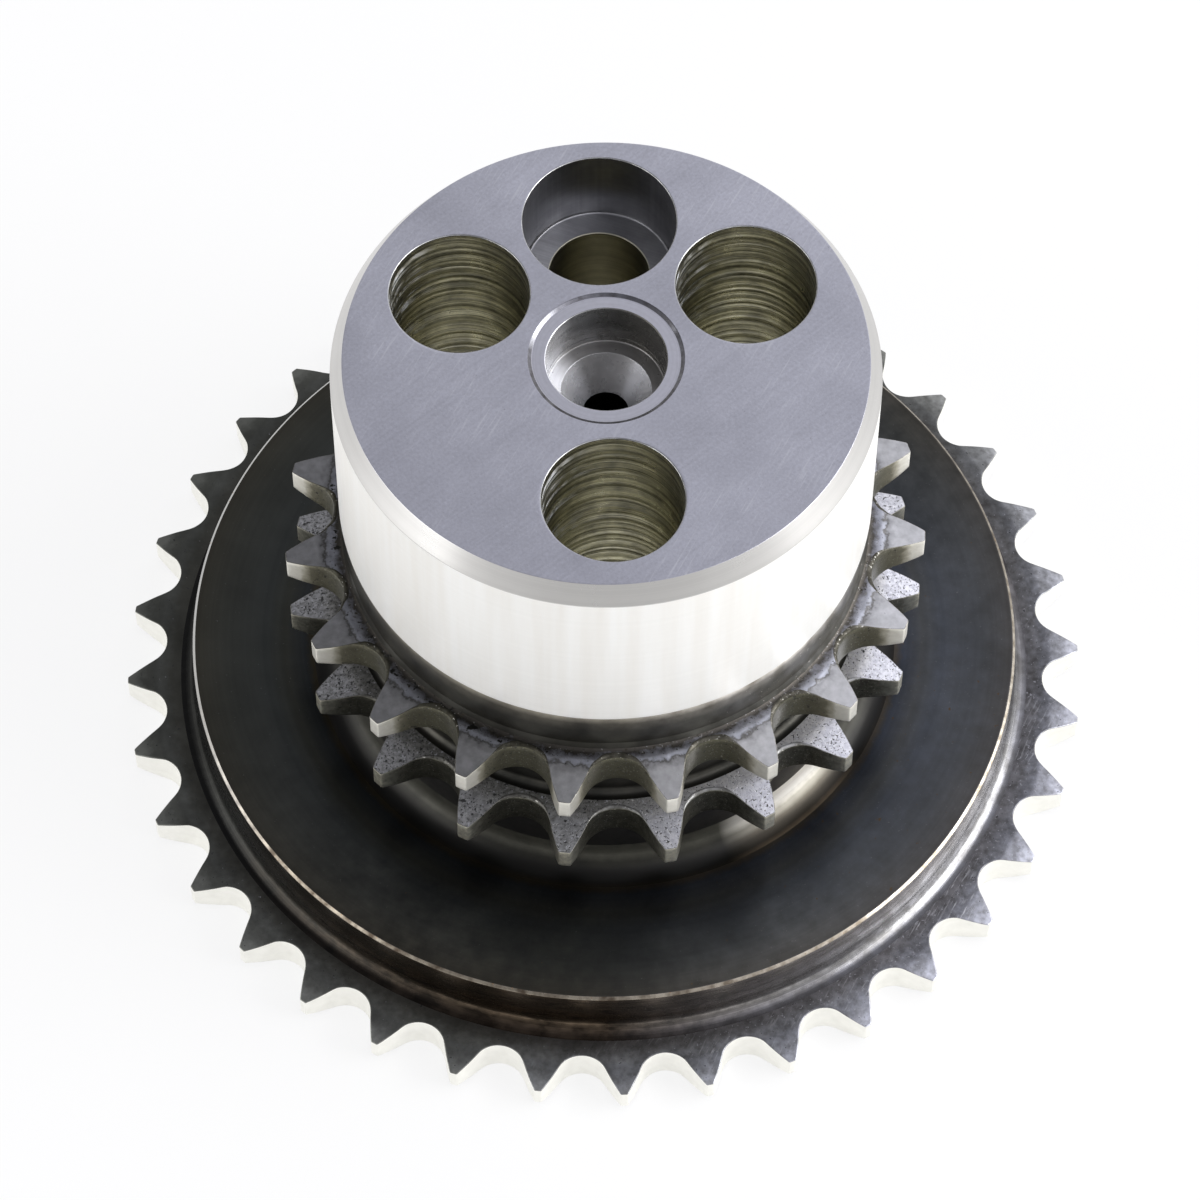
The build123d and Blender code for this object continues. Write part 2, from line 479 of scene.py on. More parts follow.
class Wiring:
    """Adds shader nodes to one tree and joins them. An input takes a socket or a plain value."""

    def __init__(self, tree):
        self.tree = tree

    def join(self, value, socket):
        if isinstance(value, bpy.types.NodeSocket):
            self.tree.links.new(value, socket)
        else:
            socket.default_value = value

    def node(self, kind, inputs=(), **settings):
        made = self.tree.nodes.new(kind)
        for name, value in settings.items():
            setattr(made, name, value)
        for name, value in dict(inputs).items():
            self.join(value, made.inputs[name])
        return made

    def math(self, operation, *values, clamp=False):
        made = self.node("ShaderNodeMath", enumerate(values), operation=operation, use_clamp=clamp)
        return made.outputs[0]

    def add(self, first, second):
        return self.math("ADD", first, second)

    def minus(self, first, second):
        return self.math("SUBTRACT", first, second)

    def times(self, first, second):
        return self.math("MULTIPLY", first, second)

    def over(self, first, second):
        return self.math("DIVIDE", first, second)

    def vector(self, operation, inputs):
        return self.node("ShaderNodeVectorMath", inputs, operation=operation).outputs

    def parts(self, vector):
        return self.node("ShaderNodeSeparateXYZ", {0: vector}).outputs

    def combined(self, *values):
        return self.node("ShaderNodeCombineXYZ", enumerate(values)).outputs[0]

    def blend(self, share, under, over, how="MIX"):
        inputs = {0: share, 6: rgba(under), 7: rgba(over)}
        made = self.node("ShaderNodeMix", inputs, data_type="RGBA", blend_type=how)
        return made.outputs[2]

    def stretch(self, value, low, high, to_low=0.0, to_high=1.0):
        inputs = {0: value, 1: low, 2: high, 3: to_low, 4: to_high}
        return self.node("ShaderNodeMapRange", inputs).outputs[0]

    def noise(self, place, scale, detail=3.0, kind="3D", rough=0.55):
        inputs = {"Scale": scale, "Detail": detail, "Roughness": rough}
        inputs["W" if kind == "1D" else "Vector"] = place
        return self.node("ShaderNodeTexNoise", inputs, noise_dimensions=kind).outputs["Fac"]

    def bands(self, value, stops):
        """Colours along a value, given by place from the lowest to the highest."""
        low, high = min(stops), max(stops)
        made = self.node("ShaderNodeValToRGB", {0: self.stretch(value, low, high)})
        ramp = made.color_ramp
        ramp.elements.remove(ramp.elements[1])
        for number, (place, colour) in enumerate(stops.items()):
            at = (place - low) / (high - low)
            stop = ramp.elements[0] if number == 0 else ramp.elements.new(at)
            stop.position = at
            stop.color = rgba(colour)
        return made.outputs[0]

    def effect(self, name, **inputs):
        """Outputs of a shared group, placed in this tree with its own values."""
        return self.node("ShaderNodeGroup", inputs, node_tree=GROUPS[name]).outputs


GROUPS = {}


def shared(inputs, *outputs):
    """Makes a shared shader group of the function below, which returns its outputs in order.

    An input starts at its value, and one without a value is a vector.
    """

    def build(fill):
        tree = bpy.data.node_groups.new(fill.__name__, "ShaderNodeTree")
        for label, start in inputs.items():
            kind = "NodeSocketVector" if start is None else "NodeSocketFloat"
            socket = tree.interface.new_socket(label, in_out="INPUT", socket_type=kind)
            if start is not None:
                socket.default_value = start
        for label in outputs:
            tree.interface.new_socket(label, in_out="OUTPUT", socket_type="NodeSocketFloat")
        wiring = Wiring(tree)
        values = fill(wiring, wiring.node("NodeGroupInput").outputs)
        wiring.node("NodeGroupOutput", dict(zip(outputs, values)))
        GROUPS[fill.__name__] = tree

    return build


@shared({"Place": None}, "Radius", "Height")
def ruler(wiring, given):
    """Distance from the axis and height over the back face, in millimetres."""
    parts = wiring.parts(given["Place"])
    square = wiring.add(wiring.math("POWER", parts[0], 2.0), wiring.math("POWER", parts[1], 2.0))
    return wiring.math("SQRT", square), parts[2]


@shared({"Place": None, "Size": 3.0, "Contrast": 1.0}, "Patches")
def mottling(wiring, given):
    """Soft patches: noise of the given size, spread between 0 and 1 by the contrast."""
    cloud = wiring.noise(given["Place"], wiring.over(1.0, given["Size"]), 5.0)
    spread = wiring.times(wiring.minus(cloud, 0.5), given["Contrast"])
    return [wiring.math("ADD", wiring.times(spread, 2.5), 0.5, clamp=True)]


@shared({"Place": None, "Size": 0.3, "Cover": 0.3}, "Pits")
def pits(wiring, given):
    """Small pits or flecks: the highest parts of a fine noise, more of them as cover rises."""
    grain = wiring.noise(given["Place"], wiring.over(1.0, given["Size"]), 2.5, rough=0.6)
    gate = wiring.minus(0.78, wiring.times(given["Cover"], 0.36))
    return [wiring.stretch(grain, gate, wiring.add(gate, 0.05))]


@shared({"Along": 0.0, "Spacing": 0.2}, "Lines")
def tool_lines(wiring, given):
    """Fine lines left by a tool: noise that changes along one measure only, in two spacings."""
    fine = wiring.over(given["Along"], given["Spacing"])
    coarse = wiring.times(fine, 0.17)
    both = wiring.add(wiring.noise(fine, 1.0, 2.0, "1D"), wiring.noise(coarse, 1.0, 2.0, "1D"))
    return [wiring.times(both, 0.5)]


def drawn_out(wiring, given, length, detail):
    """Noise turned to the given direction, as long as the length and as wide as the spacing."""
    axis = {"Vector": given["Place"], "Angle": given["Direction"]}
    turned_place = wiring.node("ShaderNodeVectorRotate", axis, rotation_type="Z_AXIS").outputs[0]
    along, across, _ = wiring.parts(turned_place)
    spot = wiring.combined(wiring.over(along, length), wiring.over(across, given["Spacing"]))
    return wiring.noise(spot, 1.0, detail)


@shared({"Place": None, "Direction": 0.6, "Spacing": 0.12}, "Scratches")
def scratches(wiring, given):
    """Straight fine scratches: noise drawn out along one direction of the face."""
    return [wiring.stretch(drawn_out(wiring, given, 20.0, 4.0), 0.3, 0.7)]


@shared({"Place": None, "Direction": 1.1, "Spacing": 0.12, "Length": 2.0}, "Hatching")
def hatching(wiring, given):
    """Short light strokes in one direction: noise drawn out along it, kept only in patches."""
    strokes = drawn_out(wiring, given, given["Length"], 2.0)
    patches = wiring.stretch(wiring.noise(given["Place"], 0.11, 3.0), 0.46, 0.62)
    return [wiring.times(wiring.stretch(strokes, 0.56, 0.7), patches)]


@shared({"Place": None, "Edge": 0.0, "Amount": 0.5}, "Wear")
def edge_wear(wiring, given):
    """Bare bright metal along edges: nearness to the edge, eaten into by a fine noise."""
    grain = wiring.noise(given["Place"], 1.6, 4.0)
    pushed = wiring.add(given["Edge"], wiring.minus(grain, 0.5))
    gate = wiring.minus(1.05, given["Amount"])
    return [wiring.stretch(pushed, gate, wiring.add(gate, 0.25))]


@shared({"Place": None, "Direction": 0.0, "Low": -1.0, "High": 1.0}, "Share")
def side(wiring, given):
    """How far a place lies towards a direction: from 0 away from it to 1 towards it."""
    flat = wiring.vector("MULTIPLY", {0: given["Place"], 1: (1, 1, 0)})[0]
    heading = wiring.vector("NORMALIZE", {0: flat})[0]
    direction = given["Direction"]
    aim = wiring.combined(wiring.math("COSINE", direction), wiring.math("SINE", direction))
    turned_to = wiring.vector("DOT_PRODUCT", {0: heading, 1: aim})["Value"]
    return [wiring.stretch(turned_to, given["Low"], given["High"])]


def steel(
    name, light, dark, rough, patch=(3.0, 1.0), lit_colours=None, turn=(0.2, 0.9), painted_light_or_shade=None,
    zones=None, lines=None, scratched=None, clouds=None, hatched=None, flecks=(), glints=None,
    worn=None, metal=1.0,
):
    """Material of one steel surface, in layers from its two colours up.

    light and dark: the two colours, mixed in patches. rough: roughness of the dark and of the
    light parts. patch: size and contrast of the patches, and how far they are drawn out upwards.
    barer: the same two colours on the part's barer side. turn: where that side begins and is
    full, and its direction if it has its own. one_side: direction, beginning, full share and
    colour of one more patch. zones: measure, raggedness, and the tints by place.
    lines: measure, spacing, depth and tone. scratched: direction, spacing, depth and tone.
    clouds: size and tone. hatched: direction, spacing, length and colour of light strokes.
    flecks: colour, size, cover on the scaled side and on the bare side, depth, and the radii
    between which they fade. glints: colour, spacing and metal where the edge value is high.
    worn: colour and amount of bare metal along the edges.
    """
    material = bpy.data.materials.new(name)
    FINISHES[name] = material
    material.use_nodes = True
    wiring = Wiring(material.node_tree)
    shader = material.node_tree.nodes["Principled BSDF"]
    shader.inputs["Metallic"].default_value = metal
    whole = wiring.node("ShaderNodeTexCoord").outputs["Object"]
    place = wiring.vector("SCALE", {0: whole, 3: 1 / METRES})[0]
    ruler = wiring.effect("ruler", Place=place)

    def towards(direction, low, high):
        aim = math.radians(direction)
        return wiring.effect("side", Place=place, Direction=aim, Low=low, High=high)["Share"]

    # The lit side: a share from 0 away from the light to 1 towards it, for painted light
    begin, full, *own_direction = turn
    side = towards(own_direction[0] if own_direction else LIT_SIDE, begin, full)
    size, contrast, *drawn_up = patch
    spot = place
    if drawn_up:
        spot = wiring.vector("MULTIPLY", {0: place, 1: (1, 1, drawn_up[0])})[0]
    patches = wiring.effect("mottling", Place=spot, Size=size, Contrast=contrast)["Patches"]
    colour = wiring.blend(patches, dark, light)
    roughness = wiring.stretch(patches, 0.0, 1.0, *rough)
    height = wiring.times(patches, patch_rise)

    def raised(marks, rise):
        return wiring.add(height, wiring.times(marks, rise))

    def shaded(marks, low, high, tone):
        shade = wiring.stretch(marks, low, high, 1 - tone, 1 + tone)
        return wiring.vector("SCALE", {0: colour, 3: shade})[0]

    # Painted light: lighter colours on the side the light falls on
    if lit_colours:
        colour = wiring.blend(side, colour, wiring.blend(patches, lit_colours[1], lit_colours[0]))
    # One more patch on one side: a painted highlight or painted shade
    if painted_light_or_shade:
        *reach, light_or_shade_colour = painted_light_or_shade
        colour = wiring.blend(towards(*reach), colour, light_or_shade_colour)
    if zones:
        measure, ragged, tints = zones
        wander = wiring.times(wiring.minus(wiring.noise(place, 1.3, 5.0), 0.5), ragged)
        tint = wiring.bands(wiring.add(ruler[measure], wander), tints)
        colour = wiring.blend(1.0, colour, tint, "MULTIPLY")
    if lines:
        measure, spacing, depth, tone = lines
        marks = wiring.effect("tool_lines", Along=ruler[measure], Spacing=spacing)["Lines"]
        height = raised(marks, depth)
        colour = shaded(marks, 0.35, 0.65, tone)
    if scratched:
        direction, spacing, depth, tone = scratched
        inputs = {"Place": place, "Direction": direction, "Spacing": spacing}
        marks = wiring.effect("scratches", **inputs)["Scratches"]
        height = raised(marks, depth)
        colour = shaded(marks, 0.0, 1.0, tone)
    if clouds:
        drift = wiring.effect("mottling", Place=place, Size=clouds[0], Contrast=1.0)["Patches"]
        colour = shaded(drift, 0.0, 1.0, clouds[1])
    if hatched:
        direction, spacing, length, stroke_colour = hatched
        inputs = {"Place": place, "Direction": direction, "Spacing": spacing, "Length": length}
        marks = wiring.effect("hatching", **inputs)["Hatching"]
        # Strokes kept to the lit side, where the light shows them: painted light
        if lit_colours:
            marks = wiring.times(marks, side)
        colour = wiring.blend(marks, colour, stroke_colour)
    # Fleck cover shifts from the shaded side to the lit side along with the painted light
    for fleck_colour, size, shaded_side_cover, lit_side_cover, depth, *fade in flecks:
        cover = wiring.stretch(side, 0.0, 1.0, shaded_side_cover, lit_side_cover)
        if fade:
            cover = wiring.times(cover, wiring.stretch(ruler["Radius"], *fade, 1.0, 0.0))
        marks = wiring.effect("pits", Place=place, Size=size, Cover=cover)["Pits"]
        colour = wiring.blend(marks, colour, fleck_colour)
        height = raised(marks, -depth)
    if glints or worn:
        edge = wiring.node("ShaderNodeAttribute", attribute_name="edge").outputs["Fac"]
    # Painted glints: light streaks without metal, where the edge value is high
    if glints:
        glint_colour, spacing, glint_metal = glints
        streaks = wiring.effect("tool_lines", Along=ruler["Height"], Spacing=spacing)["Lines"]
        spots = wiring.effect("mottling", Place=place, Size=1.2, Contrast=1.6)["Patches"]
        marks = wiring.times(wiring.times(wiring.stretch(streaks, 0.5, 0.56), spots), edge)
        colour = wiring.blend(marks, colour, glint_colour)
        wiring.join(wiring.stretch(marks, 0.0, 1.0, 1.0, glint_metal), shader.inputs["Metallic"])
    if worn:
        wear = wiring.effect("edge_wear", Place=place, Edge=edge, Amount=worn[1])["Wear"]
        colour = wiring.blend(wear, colour, worn[0])
        roughness = wiring.minus(roughness, wiring.times(wear, 0.08))
    bump = wiring.node("ShaderNodeBump", {"Height": height, "Distance": METRES}).outputs[0]
    wiring.join(colour, shader.inputs["Base Color"])
    wiring.join(roughness, shader.inputs["Roughness"])
    wiring.join(bump, shader.inputs["Normal"])


black = 0.01
bare = (0.8, 0.79, 0.76)
rust = (0.3, 0.2, 0.12)
scratch_direction = math.radians(-38)
hatch_direction = math.radians(-60)

# Ground end face, with the turned recess and centre hole in it
steel(
    "end_face", (0.51, 0.515, 0.57), (0.435, 0.435, 0.48), (0.36, 0.3), patch=(0.3, 0.9),
    scratched=(scratch_direction, 0.3, 0.002, 0.05), clouds=(9.0, 0.1),
    hatched=(hatch_direction, 0.22, 5.0, (0.585, 0.59, 0.635)),
    flecks=[((0.33, 0.33, 0.36), 0.22, 0.2, 0.2, 0.002), ((0.6, 0.6, 0.64), 0.18, 0.2, 0.2, 0.0)],
)
steel(
    "recess", (0.55, 0.55, 0.6), (0.48, 0.48, 0.52), (0.34, 0.28), patch=(0.5, 0.6),
    lines=("Radius", 0.09, 0.002, 0.06),
)
# Recess bevel: dark, with a painted highlight on its upper-left arc
steel(
    "recess_bevel", (0.26, 0.26, 0.28), (0.11, 0.105, 0.11), (0.22, 0.16), patch=(0.8, 1.0),
    lines=("Radius", 0.05, 0.002, 0.1), painted_light_or_shade=(148, 0.93, 1.0, (0.62, 0.62, 0.65)),
)
# Centre bore wall: lighter on its left, a painted highlight, and darker on its right, painted shade
steel(
    "centre_wall", (0.3, 0.302, 0.305), (0.19, 0.19, 0.185), (0.3, 0.22), patch=(1.0, 1.0),
    lit_colours=((0.97, 0.97, 0.99), (0.8, 0.8, 0.81)), turn=(0.5, 0.97, 182), metal=0.75,
    lines=("Height", 0.12, 0.002, 0.1), painted_light_or_shade=(35, 0.3, 0.95, (0.13, 0.125, 0.11)),
    flecks=[(0.12, 0.2, 0.1, 0.05, 0.002)],
)
# Centre ledge: lighter on its left, a painted highlight
steel(
    "centre_ledge", (0.36, 0.35, 0.34), (0.27, 0.26, 0.25), (0.32, 0.26), patch=(1.0, 0.8),
    lit_colours=((0.98, 0.98, 0.99), 0.9), turn=(0.6, 0.97, 178), metal=0.7,
    lines=("Radius", 0.1, 0.002, 0.08),
)
# Centre cone: painted highlights on its left and right, and darker towards the pilot, painted shade
steel(
    "centre_cone", (0.44, 0.435, 0.43), (0.34, 0.335, 0.33), (0.32, 0.24), patch=(1.2, 0.6),
    lit_colours=((0.98, 0.98, 1.0), 0.95), turn=(0.7, 0.97, 166), metal=0.5,
    painted_light_or_shade=(20, 0.84, 0.99, (0.7, 0.7, 0.71)), lines=("Height", 0.12, 0.001, 0.06),
    zones=("Height", 0.3, {
        47.2: (0.1, 0.09, 0.08), 48.2: (0.35, 0.34, 0.32), 49.3: 1.0, 50.8: 1.0,
    }),
)
# Pilot hole: near black, painted shade deep in the narrow hole
steel("pilot", 0.05, black, (0.5, 0.4), lines=("Height", 0.3, 0.05, 0.2))

# Rough bolt holes, and the cleaner screw hole
# Bolt bores: bluish painted glints on the left of each wall
steel(
    "bolt_bore", (0.78, 0.755, 0.6), (0.36, 0.35, 0.29), (0.36, 0.26), patch=(2.2, 1.1),
    lines=("Height", 0.12, 0.03, 0.6), glints=((0.9, 0.93, 1.0), 0.5, 0.0),
)
steel("hole_rim", 0.5, 0.3, (0.3, 0.25), patch=(0.8, 1.4))
steel(
    "screw_seat", (0.36, 0.36, 0.37), (0.26, 0.26, 0.27), (0.34, 0.28), patch=(2.0, 0.8),
    lines=("Height", 0.14, 0.002, 0.05), scratched=(0.4, 0.2, 0.004, 0.1),
)
steel(
    "screw_bore", (0.6, 0.58, 0.46), (0.42, 0.4, 0.31), (0.4, 0.32),
    lines=("Height", 0.2, 0.008, 0.14),
)

# Ground side of the hub, and the dark neck below it
steel(
    "lead_in", (0.63, 0.62, 0.605), (0.56, 0.55, 0.535), (0.3, 0.26), patch=(5.0, 0.5),
    lines=("Height", 0.12, 0.001, 0.03),
)
steel(
    "hub_side", (0.97, 0.965, 0.935), (0.9, 0.88, 0.83), (0.4, 0.36), patch=(1.8, 1.0, 0.05),
    lines=("Height", 0.1, 0.0006, 0.012), metal=0.6,
)
# Neck: lighter on the lit side, and lighter at its top just under the hub's edge, fading dark
# downward: painted light
steel(
    "undercut", (0.11, 0.105, 0.09), (0.04, 0.037, 0.032), (0.42, 0.32), patch=(2.2, 0.9),
    lit_colours=((0.34, 0.335, 0.33), (0.09, 0.082, 0.07)), turn=(0.55, 0.95), metal=0.6,
    zones=("Height", 0.2, {
        30.0: (0.3, 0.3, 0.27), 33.4: (0.4, 0.4, 0.37), 34.7: (1.1, 1.06, 0.98),
        35.4: (3.2, 3.1, 2.9), 36.2: (7.0, 6.8, 6.4),
    }),
    flecks=[((0.5, 0.47, 0.43), 0.25, 0.0, 0.3, 0.0)],
)

# Rows of teeth: faces, walls in the gaps, and edge breaks
# Front row faces: lighter on the lit side, painted light; darker in the crease by the neck and in a
# line at the shoulder's step, painted shade
steel(
    "front_face", (0.27, 0.27, 0.275), (0.18, 0.18, 0.182), (0.44, 0.38), patch=(0.9, 1.0),
    lit_colours=((0.52, 0.52, 0.535), (0.38, 0.38, 0.39)),
    zones=("Radius", 1.7, {
        24.9: (0.22, 0.2, 0.17), 25.3: (0.2, 0.185, 0.16), 25.6: (0.5, 0.5, 0.53),
        25.95: (0.88, 0.9, 0.98), 26.35: (0.8, 0.82, 0.88), 26.6: (0.3, 0.29, 0.27), 26.85: 0.7,
        27.5: 1.0,
    }),
    flecks=[
        ((0.05, 0.045, 0.035), 0.6, 0.5, 0.45, 0.006, 25.7, 26.7),
        ((0.02, 0.02, 0.018), 0.9, 0.5, 0.25, 0.006, 26.0, 27.1),
        ((0.03, 0.03, 0.027), 0.25, 0.45, 0.4, 0.01, 26.4, 27.2),
        ((0.24, 0.235, 0.23), 0.3, 0.3, 0.45, 0.0, 25.8, 26.6), (0.05, 0.25, 0.16, 0.16, 0.01),
    ],
)
# Rear row faces: lighter on the lit side, painted light, and darker towards the root under the front
# row, painted shade
steel(
    "rear_face", (0.4, 0.4, 0.41), 0.2, (0.44, 0.36), patch=(0.4, 1.5),
    lit_colours=((0.82, 0.82, 0.87), (0.56, 0.56, 0.62)), turn=(0.45, 0.85), metal=0.7,
    zones=("Radius", 1.6, {
        25.0: (0.7, 0.69, 0.64), 26.6: (0.8, 0.79, 0.75), 27.4: 0.95, 28.4: 1.0,
    }),
    flecks=[
        ((0.5, 0.5, 0.54), 0.35, 0.42, 0.5, 0.0), (0.04, 0.5, 0.45, 0.25, 0.01),
        (0.04, 0.22, 0.56, 0.54, 0.02), ((0.62, 0.62, 0.66), 0.18, 0.3, 0.4, 0.0),
    ],
)
steel(
    "row_wall", (0.92, 0.9, 0.82), (0.74, 0.72, 0.65), (0.38, 0.3), patch=(0.8, 0.8), metal=0.75,
    zones=("Radius", 1.2, {
        25.5: (0.1, 0.098, 0.07), 27.0: (0.14, 0.135, 0.1), 28.2: (0.24, 0.23, 0.18),
        28.7: (0.55, 0.53, 0.46), 29.2: (0.92, 0.91, 0.88), 30.5: 1.0,
    }),
    flecks=[
        ((0.04, 0.038, 0.03), 0.5, 0.45, 0.4, 0.01, 28.0, 29.4),
        ((0.05, 0.048, 0.04), 0.22, 0.5, 0.45, 0.02, 28.0, 29.2),
        ((0.3, 0.29, 0.24), 0.18, 0.42, 0.42, 0.0, 27.8, 28.6),
    ],
)
steel(
    "rear_wall", (0.4, 0.39, 0.34), (0.18, 0.173, 0.15), (0.4, 0.32), patch=(0.8, 1.2),
    zones=("Radius", 1.4, {
        25.5: (0.4, 0.4, 0.36), 27.2: (0.45, 0.45, 0.41), 28.8: (0.8, 0.8, 0.76),
        29.9: (1.8, 1.8, 1.75), 30.5: (3.0, 2.95, 2.8),
    }),
    flecks=[
        ((0.03, 0.03, 0.025), 0.4, 0.5, 0.45, 0.01, 28.6, 30.3),
        ((0.03, 0.03, 0.025), 0.2, 0.6, 0.55, 0.02, 28.6, 30.3),
        ((0.42, 0.41, 0.36), 0.2, 0.42, 0.42, 0.0),
    ],
)
# Front row's edge breaks: lighter on the lit side, painted light
steel(
    "row_rim", (0.15, 0.147, 0.13), (0.06, 0.057, 0.05), (0.5, 0.44), patch=(0.7, 1.4),
    lit_colours=((0.32, 0.31, 0.3), (0.14, 0.137, 0.128)),
    zones=("Radius", 1.4, {
        25.5: (0.3, 0.29, 0.25), 26.6: (0.45, 0.44, 0.38), 27.6: (0.8, 0.8, 0.76), 29.5: 1.0,
    }),
    flecks=[((0.42, 0.41, 0.38), 0.25, 0.35, 0.5, 0.0), ((0.03, 0.03, 0.025), 0.3, 0.5, 0.3, 0.01)],
)
# Rear row's edge breaks: lighter on the lit side, painted light
steel(
    "rear_rim", (0.16, 0.157, 0.143), (0.07, 0.067, 0.06), (0.5, 0.44), patch=(0.7, 1.4),
    lit_colours=(0.3, (0.15, 0.148, 0.14)),
    flecks=[((0.44, 0.43, 0.4), 0.25, 0.35, 0.45, 0.0), ((0.03, 0.03, 0.025), 0.3, 0.45, 0.3, 0.01)],
)
steel("under_face", (0.1, 0.095, 0.09), 0.05, (0.45, 0.38), flecks=[(black, 0.3, 0.3, 0.3, 0.02)])
# Groove between the rows: near black, painted shade
steel(
    "groove", (0.07, 0.067, 0.058), (0.03, 0.03, 0.027), (0.45, 0.36),
    lines=("Height", 0.25, 0.006, 0.1),
)

# Boss, cove and disc
steel(
    "boss", (0.6, 0.58, 0.5), (0.42, 0.41, 0.35), (0.4, 0.32), patch=(1.5, 1.0), metal=0.1,
    lines=("Height", 0.2, 0.004, 0.1),
)
# Cove: a near-white painted highlight at the lower right, and lighter just under the rear row,
# fading dark outward, as painted light; brown heat tint at its outer end
steel(
    "cove", (0.1, 0.1, 0.087), (0.055, 0.055, 0.047), (0.34, 0.28), patch=(2.0, 1.0), metal=0.6,
    painted_light_or_shade=(-50, 0.955, 0.993, (0.97, 0.96, 0.94)), lines=("Height", 0.25, 0.003, 0.08),
    zones=("Radius", 0.2, {
        25.4: (0.9, 0.88, 0.82), 25.8: (0.7, 0.68, 0.63), 26.3: (0.22, 0.21, 0.18),
        26.9: (0.06, 0.052, 0.038), 28.0: (0.03, 0.025, 0.018), 28.7: (0.14, 0.105, 0.07),
    }),
)
# Disc face: lighter and bluer on the lit side, darker on the left, painted light and shade; the
# bands by radius are heat tints
steel(
    "disc_face", (0.062, 0.064, 0.06), (0.038, 0.04, 0.039), (0.36, 0.28), patch=(1.6, 0.9),
    lit_colours=((0.093, 0.1, 0.11), (0.072, 0.076, 0.08)), turn=(0.4, 0.95), clouds=(7.0, 0.14),
    lines=("Radius", 0.6, 0.001, 0.07), painted_light_or_shade=(160, 0.2, 0.9, (0.042, 0.044, 0.039)),
    zones=("Radius", 0.8, {
        27.0: (1.0, 0.8, 0.6), 28.7: (1.1, 0.9, 0.7), 29.3: (0.8, 0.84, 0.98),
        30.4: (0.88, 0.88, 0.92), 31.2: (1.0, 0.97, 0.92), 33.0: (0.95, 0.97, 1.03),
        37.0: (1.04, 1.02, 1.0), 39.4: (1.12, 1.03, 0.93), 41.0: (1.15, 1.0, 0.85),
    }),
    flecks=[
        (0.16, 0.2, 0.15, 0.25, 0.0), ((0.1, 0.07, 0.045), 0.7, 0.1, 0.25, 0.0),
        (0.8, 0.3, -0.15, -0.12, 0.0),
    ],
)
# Disc edge: lighter on the lit side and on its upper left, painted highlights, with rust flecks
steel(
    "disc_edge", (0.36, 0.32, 0.26), (0.1, 0.078, 0.058), (0.34, 0.26), patch=(1.2, 1.5),
    lit_colours=((0.62, 0.57, 0.49), (0.26, 0.22, 0.17)), turn=(0.5, 0.95),
    painted_light_or_shade=(150, 0.4, 0.9, (0.5, 0.495, 0.48)),
    flecks=[(rust, 0.5, 0.3, 0.3, 0.0)],
)
# Step down to the ring: a bright painted highlight on the lit side, darker on the left and low in
# the fillet at its foot, painted shade
steel(
    "disc_wall", (0.2, 0.15, 0.105), (0.05, 0.038, 0.028), (0.3, 0.22), patch=(2.0, 1.3, 3.0),
    lit_colours=((0.62, 0.62, 0.64), (0.36, 0.352, 0.345)), turn=(0.5, 0.95),
    painted_light_or_shade=(180, 0.3, 0.9, (0.065, 0.065, 0.06)), lines=("Height", 0.12, 0.003, 0.22),
    zones=("Height", 1.0, {
        4.0: (0.35, 0.35, 0.36), 4.6: 0.5, 5.2: 0.9, 6.2: 1.3, 7.4: (0.85, 0.83, 0.8),
        10.0: (0.95, 0.88, 0.8),
    }),
)

# Ring of fine teeth, and the back
# Ring face: lighter on the lit side with light strokes only there, and darker on the left: painted
# light and shade
steel(
    "ring_face", (0.155, 0.158, 0.144), (0.095, 0.095, 0.088), (0.42, 0.32), patch=(0.7, 1.0),
    lit_colours=((0.28, 0.285, 0.315), (0.12, 0.12, 0.127)), turn=(0.2, 0.95),
    hatched=(hatch_direction, 0.22, 1.8, (0.46, 0.46, 0.48)), clouds=(3.0, 0.25),
    painted_light_or_shade=(160, 0.3, 0.95, (0.075, 0.077, 0.069)),
    zones=("Radius", 1.8, {
        41.0: (0.6, 0.57, 0.54), 42.6: (0.68, 0.66, 0.63), 43.6: 0.85, 45.2: 1.1,
        46.3: (1.9, 1.9, 1.92), 47.2: 2.2,
    }),
    flecks=[((0.3, 0.3, 0.32), 0.3, 0.15, 0.42, 0.0), (0.04, 0.35, 0.3, 0.3, 0.004)],
)
steel(
    "ring_wall", (0.98, 0.97, 0.91), (0.88, 0.87, 0.81), (0.38, 0.32), patch=(1.2, 0.8), metal=0.8,
    flecks=[((0.45, 0.43, 0.38), 0.25, 0.05, 0.05, 0.005)],
)
steel(
    "back_face", (0.3, 0.3, 0.32), (0.18, 0.18, 0.19), (0.4, 0.32), patch=(4.0, 1.0),
    lines=("Radius", 0.22, 0.004, 0.1), worn=(bare, 0.4),
    flecks=[(0.08, 0.3, 0.15, 0.15, 0.01)],
)


# Pieces


